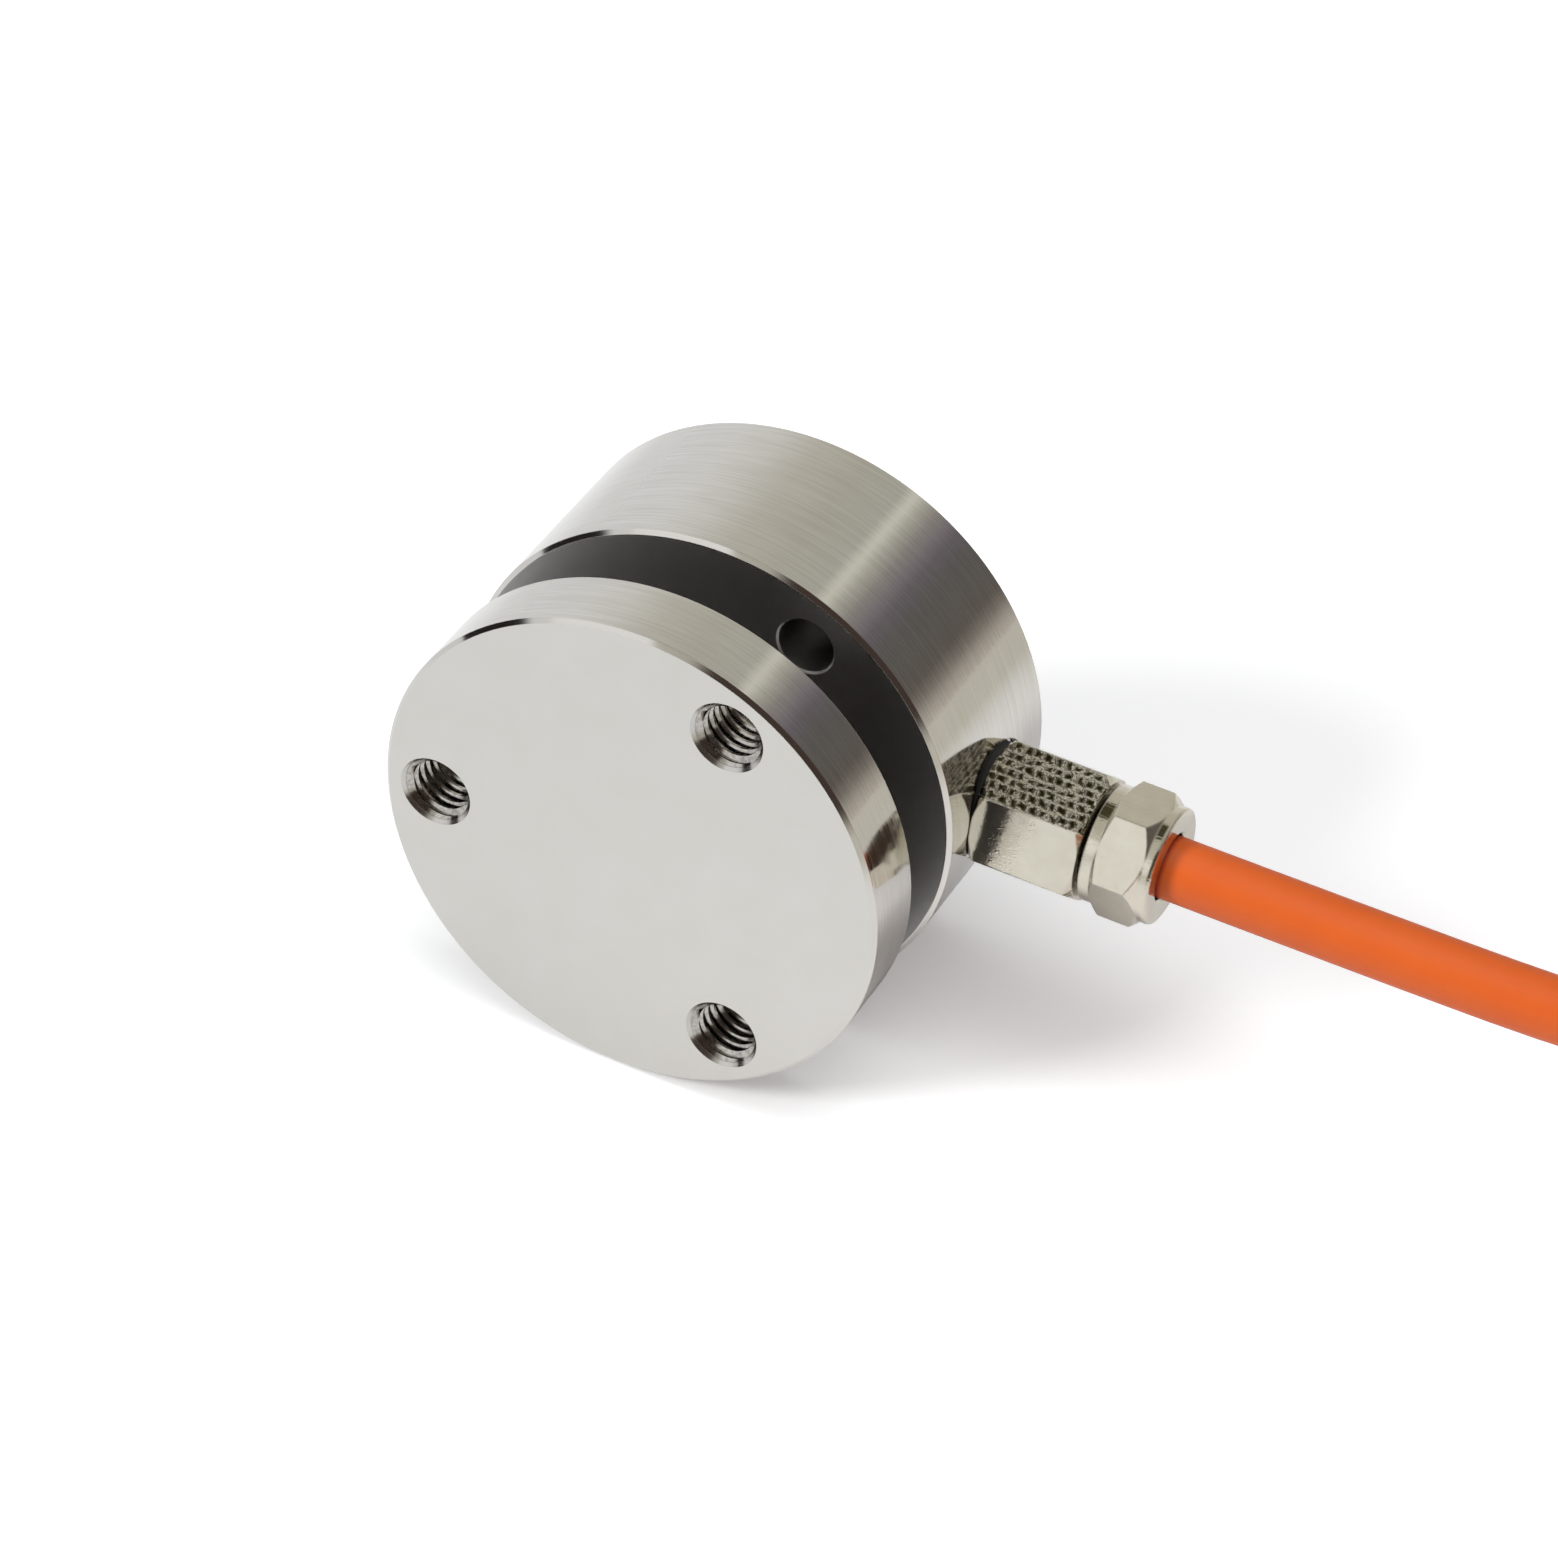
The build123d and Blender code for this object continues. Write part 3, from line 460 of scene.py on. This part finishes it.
def moulded_nylon():
    # Natural nylon, injection-moulded: milky off-white, slightly translucent
    material, tree = new_material("moulded_natural_nylon")
    place = add(tree, "ShaderNodeTexCoord").outputs["Object"]
    cloud = add(tree, "ShaderNodeTexNoise", {"Vector": place, "Scale": 1 / (1.8 * MM), "Detail": 3.0})
    milky = blend(tree, cloud, colour("#DAD7CB"), colour("#ECEAE1"))
    rough = add(tree, "ShaderNodeMapRange", {"Value": cloud, "To Min": 0.32, "To Max": 0.46})
    shader = add(tree, "ShaderNodeBsdfPrincipled",
                 {"Base Color": milky, "Roughness": rough, "IOR": 1.53, "Subsurface Weight": 0.2,
                  "Subsurface Radius": (1.0, 0.9, 0.7), "Subsurface Scale": 0.5 * MM})
    add(tree, "ShaderNodeOutputMaterial", {"Surface": shader})
    return material


def shrink_sleeve():
    # Polyolefin heat-shrink: satin black with faint rings where it gripped
    material, tree = new_material("shrunk_polyolefin_sleeve")
    place = add(tree, "ShaderNodeTexCoord").outputs["Object"]
    ripple = add(tree, "ShaderNodeTexNoise", {"Vector": place, "Scale": 1 / (0.9 * MM), "Detail": 3.0})
    black = blend(tree, ripple, colour("#161616"), colour("#262626"))
    grip = add(tree, "ShaderNodeBump", {"Height": ripple, "Distance": 0.05 * MM, "Strength": 0.5})
    shader = add(tree, "ShaderNodeBsdfPrincipled", {"Base Color": black, "Roughness": 0.42, "Normal": grip})
    add(tree, "ShaderNodeOutputMaterial", {"Surface": shader})
    return material


def tinned_copper():
    # Tin-dipped copper strand: silvery and a little lumpy
    material, tree = new_material("tinned_copper_strand")
    place = add(tree, "ShaderNodeTexCoord").outputs["Object"]
    lumps = add(tree, "ShaderNodeTexNoise", {"Vector": place, "Scale": 1 / (0.3 * MM), "Detail": 3.0})
    tin = blend(tree, lumps, colour("#B7B4AE"), colour("#DAD8D3"))
    dips = add(tree, "ShaderNodeBump", {"Height": lumps, "Distance": 0.04 * MM, "Strength": 0.6})
    shader = add(tree, "ShaderNodeBsdfPrincipled",
                 {"Base Color": tin, "Metallic": 1.0, "Roughness": 0.3, "Normal": dips})
    add(tree, "ShaderNodeOutputMaterial", {"Surface": shader})
    return material


def solder_mask():
    # Glass-epoxy board under green solder mask: deep green gloss with the weave just showing
    material, tree = new_material("glass_epoxy_board")
    place = add(tree, "ShaderNodeTexCoord").outputs["Object"]
    weave = add(tree, "ShaderNodeTexChecker",
                {"Vector": place, "Color1": colour("#1D5A36"), "Color2": colour("#226440"),
                 "Scale": 1 / (0.5 * MM)})
    shader = add(tree, "ShaderNodeBsdfPrincipled",
                 {"Base Color": weave, "Roughness": 0.3, "Coat Weight": 0.4})
    add(tree, "ShaderNodeOutputMaterial", {"Surface": shader})
    return material


def glazed_resistor():
    # Chip resistor: black glaze fired on white alumina
    material, tree = new_material("glazed_chip_resistor")
    place = add(tree, "ShaderNodeTexCoord").outputs["Object"]
    glaze = add(tree, "ShaderNodeTexNoise", {"Vector": place, "Scale": 1 / (0.4 * MM), "Detail": 2.0})
    black = blend(tree, glaze, colour("#1B1B1C"), colour("#2C2C2E"))
    shader = add(tree, "ShaderNodeBsdfPrincipled", {"Base Color": black, "Roughness": 0.25})
    add(tree, "ShaderNodeOutputMaterial", {"Surface": shader})
    return material


def gauge_foil():
    # Strain gauge: amber polyimide film with the constantan grid's fine lines in it, 0.12 mm apart.
    # The wave node makes a band every 2 pi / 20 of its scaled coordinate
    material, tree = new_material("polyimide_gauge_film")
    place = add(tree, "ShaderNodeTexCoord").outputs["Object"]
    grid = add(tree, "ShaderNodeTexWave", {"Vector": place, "Scale": 2 * math.pi / 20 / (0.12 * MM)})
    film = blend(tree, grid, colour("#A9621F"), colour("#C9A77A"))
    shader = add(tree, "ShaderNodeBsdfPrincipled", {"Base Color": film, "Roughness": 0.35})
    add(tree, "ShaderNodeOutputMaterial", {"Surface": shader})
    return material


def thread_tree(steel):
    """Geometry Nodes for the ridges in tapped holes on a bolt circle, round the load axis."""
    tree = bpy.data.node_groups.new("tapped_holes", "GeometryNodeTree")
    tree.interface.new_socket("Geometry", in_out="OUTPUT", socket_type="NodeSocketGeometry")
    for name in ("Pitch", "Diameter", "Crest Diameter", "Countersink", "Depth", "Bolt Circle",
                 "First Hole", "Outer Face", "Facing"):
        tree.interface.new_socket(name, in_out="INPUT", socket_type="NodeSocketFloat")
    tree.interface.new_socket("Holes", in_out="INPUT", socket_type="NodeSocketInt")
    given = add(tree, "NodeGroupInput").outputs

    # Ridge section: a trapezium, seven eighths of the pitch wide at its root and a quarter at its crest
    root = add(tree, "ShaderNodeMath", {0: given["Diameter"], 1: 0.5}, operation="MULTIPLY")
    crest = add(tree, "ShaderNodeMath", {0: given["Crest Diameter"], 1: 0.5}, operation="MULTIPLY")
    height = add(tree, "ShaderNodeMath", {0: root, 1: crest}, operation="SUBTRACT")
    root_width = add(tree, "ShaderNodeMath", {0: given["Pitch"], 1: 0.875}, operation="MULTIPLY")
    crest_width = add(tree, "ShaderNodeMath", {0: given["Pitch"], 1: 0.25}, operation="MULTIPLY")
    section = add(tree, "GeometryNodeCurvePrimitiveQuadrilateral",
                  {"Height": height, "Bottom Width": root_width, "Top Width": crest_width, "Offset": 0.0},
                  mode="TRAPEZOID")
    inwards = add(tree, "GeometryNodeTransform", {"Geometry": section, "Rotation": (0, 0, math.pi / 2)})

    # Right-handed helix, starting and ending beyond the hole
    turns = add(tree, "ShaderNodeMath", {0: given["Depth"], 1: given["Pitch"]}, operation="DIVIDE")
    spare_turns = add(tree, "ShaderNodeMath", {0: turns, 1: 1.5}, operation="ADD")
    rise = add(tree, "ShaderNodeMath", {0: spare_turns, 1: given["Pitch"]}, operation="MULTIPLY")
    middle = add(tree, "ShaderNodeMath", {0: height, 1: -0.5, 2: root}, operation="MULTIPLY_ADD")
    helix = add(tree, "GeometryNodeCurveSpiral",
                {"Resolution": 40, "Rotations": spare_turns, "Start Radius": middle,
                 "End Radius": middle, "Height": rise, "Reverse": True})
    upright = add(tree, "GeometryNodeSetCurveNormal", {"Curve": helix}, mode="Z_UP")
    ridge = add(tree, "GeometryNodeCurveToMesh",
                {"Curve": upright, "Profile Curve": inwards, "Fill Caps": True})

    # Cut the ridge off at the hole's ends and back along the countersink
    place = add(tree, "GeometryNodeInputPosition")
    x, y, z = add(tree, "ShaderNodeSeparateXYZ", {0: place}).outputs
    flat = add(tree, "ShaderNodeCombineXYZ", {0: x, 1: y})
    radius = add(tree, "ShaderNodeVectorMath", {0: flat}, operation="LENGTH")
    lowered = add(tree, "ShaderNodeMath", {0: given["Pitch"], 1: -0.75, 2: z}, operation="MULTIPLY_ADD")
    last = add(tree, "ShaderNodeMath", {0: given["Depth"], 1: THREAD_SINK}, operation="SUBTRACT")
    depth = add(tree, "ShaderNodeClamp", {"Value": lowered, "Min": THREAD_SINK, "Max": last})
    sink_radius = add(tree, "ShaderNodeMath", {0: given["Countersink"], 1: 0.5, 2: THREAD_SINK},
                      operation="MULTIPLY_ADD")
    cone = add(tree, "ShaderNodeMath", {0: sink_radius, 1: depth}, operation="SUBTRACT")
    kept = add(tree, "ShaderNodeMath", {0: radius, 1: cone}, operation="MAXIMUM")
    growth = add(tree, "ShaderNodeMath", {0: kept, 1: radius}, operation="DIVIDE")
    widened = add(tree, "ShaderNodeVectorMath", {0: flat, "Scale": growth}, operation="SCALE")
    new_x, new_y, _ = add(tree, "ShaderNodeSeparateXYZ", {0: widened}).outputs
    moved = add(tree, "ShaderNodeCombineXYZ", {0: new_x, 1: new_y, 2: depth})
    trimmed = add(tree, "GeometryNodeSetPosition", {"Geometry": ridge, "Position": moved})
    merged = add(tree, "GeometryNodeMergeByDistance", {"Geometry": trimmed, "Distance": 0.002 * MM})
    bend = add(tree, "GeometryNodeInputMeshEdgeAngle").outputs["Unsigned Angle"]
    crease = add(tree, "FunctionNodeCompare", {"A": bend, "B": math.radians(25)}, operation="GREATER_THAN")
    creased = add(tree, "GeometryNodeSetShadeSmooth",
                  {"Geometry": merged, "Selection": crease, "Shade Smooth": False}, domain="EDGE")

    # One in each hole, then turned from up to the load axis
    circle_radius = add(tree, "ShaderNodeMath", {0: given["Bolt Circle"], 1: 0.5}, operation="MULTIPLY")
    circle = add(tree, "GeometryNodeMeshCircle", {"Vertices": given["Holes"], "Radius": circle_radius})
    clocking = add(tree, "ShaderNodeCombineXYZ", {2: given["First Hole"]})
    places = add(tree, "GeometryNodeTransform", {"Geometry": circle, "Rotation": clocking})
    each = add(tree, "GeometryNodeInstanceOnPoints", {"Points": places, "Instance": creased})
    whole = add(tree, "GeometryNodeRealizeInstances", {"Geometry": each})
    tilt = add(tree, "ShaderNodeCombineXYZ", {0: given["Facing"]})
    shift = add(tree, "ShaderNodeCombineXYZ", {1: given["Outer Face"]})
    placed = add(tree, "GeometryNodeTransform",
                 {"Geometry": whole, "Translation": shift, "Rotation": tilt})
    steel_ridges = add(tree, "GeometryNodeSetMaterial", {"Geometry": placed, "Material": steel})
    add(tree, "NodeGroupOutput", {"Geometry": steel_ridges})
    return tree


def make_threads(name, tree, **sizes):
    """Plain mesh of the tapped holes' ridges, with the given sizes."""
    maker = link_object(name + "_maker", bpy.data.meshes.new(name + "_maker"))
    modifier = maker.modifiers.new("tapped_holes", "NODES")
    modifier.node_group = tree
    for item in tree.interface.items_tree:
        if item.in_out == "INPUT":
            modifier[item.identifier] = sizes[item.name.lower().replace(" ", "_")]
    made = maker.evaluated_get(bpy.context.evaluated_depsgraph_get())
    threads = link_object(name, bpy.data.meshes.new_from_object(made))
    bpy.data.objects.remove(maker)
    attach(threads, "root")


def coil_moves():
    """Steps in the coil, each as (end in turns, layers down, places inwards)."""
    moves = []
    end = 1 - COIL_LEAD_GAP
    for column in range(COIL_TURNS_ACROSS):
        for _ in range(COIL_LAYERS - 1):
            moves.append((end, 1 if column % 2 == 0 else -1, 0))
            end += 1
        if column < COIL_TURNS_ACROSS - 1:
            moves.append((end - COIL_STEP, 0, 1))
            end += 1 - 2 * COIL_STEP
    return moves


def coil_points():
    """Control points of the coil, wound column by column from its outer top turn to its inner one."""
    turn_angle = 2 * math.pi / COIL_POINTS_PER_TURN
    swell = 4 / (3 + math.cos(turn_angle))
    points = []
    for index in range(round(COIL_TURNS * COIL_POINTS_PER_TURN) + 1):
        turn = index / COIL_POINTS_PER_TURN
        down, across = 0.0, 0.0
        for end, layers, inwards in coil_moves():
            done = min(1.0, max(0.0, 1 - (end - turn) / COIL_STEP))
            down += layers * done
            across += inwards * done
        radius = (COIL_OUTER_RADIUS - across * CABLE_DIAMETER) * swell
        angle = 2 * math.pi * turn + COIL_ENTRY
        height = COIL_TOP_TURN - down * CABLE_DIAMETER
        place = Vector((radius * math.cos(angle), radius * math.sin(angle), height))
        points.append(COIL_CENTRE + place)
    return points


def make_cable():
    """One smooth cord from the nut through the coil to the stripped end."""
    tail = [COIL_CENTRE + Vector(place) for place in CABLE_TAIL]
    points = [*CABLE_ROUTE, *coil_points(), *tail]
    curve = bpy.data.curves.new("orange_cable", "CURVE")
    curve.dimensions = "3D"
    curve.resolution_u = 4
    curve.bevel_depth = CABLE_DIAMETER / 2
    curve.bevel_resolution = 6
    curve.use_fill_caps = True
    spline = curve.splines.new("NURBS")
    spline.points.add(len(points) - 1)
    for point, place in zip(spline.points, points):
        point.co = (*place, 1.0)
    spline.order_u = 3
    spline.use_endpoint_u = True
    curve.materials.append(polyurethane_jacket())
    cable = link_object("orange_cable", curve)
    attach(cable, "root")
    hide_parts("cable", "cable_coil")


def finish_nodes(nodes):
    """Give each CAD node the material of its real part."""
    steel = turned_stainless()
    nickel = nickel_plated_brass()
    nylon = moulded_nylon()
    tin = tinned_copper()
    finishes = {
        steel: ["spring_element", "rear_cover"],
        nickel: ["gland_body", "gland_nut", "clamp_washer"],
        nitrile_rubber(): ["gland_gasket", "seal_insert"],
        polyurethane_jacket(): ["cable_entry"],
        nylon: ["coil_tie_1", "coil_tie_2"],
        shrink_sleeve(): ["end_sleeve"],
        tin: ["drain_wire", "end_shield", "lead_tips", "gauge_leads"],
        solder_mask(): ["terminal_board"],
        glazed_resistor(): ["balance_resistors"],
        gauge_foil(): ["strain_gauge_1", "strain_gauge_2", "strain_gauge_3", "strain_gauge_4"],
        core_insulation("red_core_insulation", "#A81A1A", "#BE2620"): ["core_red", "lead_red"],
        core_insulation("black_core_insulation", "#151515", "#242424"): ["core_black", "lead_black"],
        core_insulation("green_core_insulation", "#1F6B37", "#2C7E45"): ["core_green", "lead_green"],
        core_insulation("white_core_insulation", "#DEDDD8", "#ECEBE7"): ["core_white", "lead_white"],
    }
    for finish, names in finishes.items():
        for name in names:
            for slot in nodes[name].material_slots:
                slot.material = finish


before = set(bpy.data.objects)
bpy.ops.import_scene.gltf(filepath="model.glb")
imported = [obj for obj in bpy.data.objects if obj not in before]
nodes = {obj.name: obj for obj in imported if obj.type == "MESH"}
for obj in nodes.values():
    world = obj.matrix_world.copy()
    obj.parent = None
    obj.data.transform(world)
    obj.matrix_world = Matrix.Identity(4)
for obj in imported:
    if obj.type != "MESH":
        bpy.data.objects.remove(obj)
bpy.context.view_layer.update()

make_camera()
make_world()
make_key_lamp()
make_floor()
make_cable()
finish_nodes(nodes)

threads = thread_tree(tapped_stainless())
thread_sizes = {
    "pitch": THREAD_PITCH,
    "diameter": THREAD_DIAMETER + 2 * THREAD_SINK,
    "crest_diameter": THREAD_CREST,
    "countersink": COUNTERSINK,
    "bolt_circle": BOLT_CIRCLE,
    "holes": BOLT_COUNT,
}
make_threads("front_threads", threads, depth=FLANGE_BACK, first_hole=-BOLT_CLOCKING,
             outer_face=0.0, facing=-math.pi / 2, **thread_sizes)
make_threads("rear_threads", threads, depth=REAR_THREAD_DEPTH, first_hole=BOLT_CLOCKING,
             outer_face=BODY_BACK, facing=math.pi / 2, **thread_sizes)

bpy.context.scene.view_settings.view_transform = "Standard"
